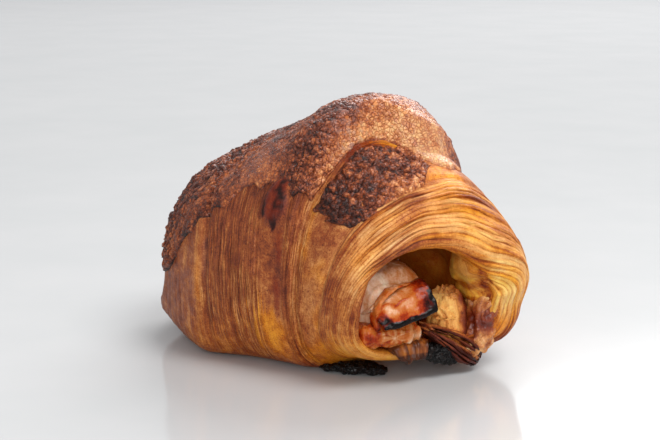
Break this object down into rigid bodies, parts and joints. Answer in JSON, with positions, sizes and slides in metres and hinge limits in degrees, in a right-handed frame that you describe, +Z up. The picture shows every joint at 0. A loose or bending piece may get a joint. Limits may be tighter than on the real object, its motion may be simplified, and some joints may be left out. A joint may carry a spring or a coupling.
{
  "type": "croissant sandwich",
  "caption": "Stubby humped croissant baked with ham and cheese, a crust of browned grated cheese on top and the fillings showing in the open end.",
  "frame": {"origin": "middle of the footprint, on the surface that the roll rests on", "axes": "+Z up, +X along the roll towards its open end, -Y the inside of the curve, where both ends turn"},
  "size_m": [0.1326, 0.082, 0.0879],
  "materials": {
    "pastry": "satin",
    "cheese_crust": "satin",
    "ham": "gloss",
    "melted_cheese": "satin",
    "burnt_cheese": "satin"
  },
  "bodies": {
    "root": {"pastry": "pastry", "cheese_crust_top": "cheese_crust", "cheese_crust_front": "cheese_crust", "ham_slice_front": "ham", "ham_slice_rear": "ham", "ham_slice_lower": "ham", "melted_cheese": "melted_cheese", "burnt_cheese_puddle": "burnt_cheese", "burnt_cheese_drip": "burnt_cheese"}
  },
  "joints": []
}
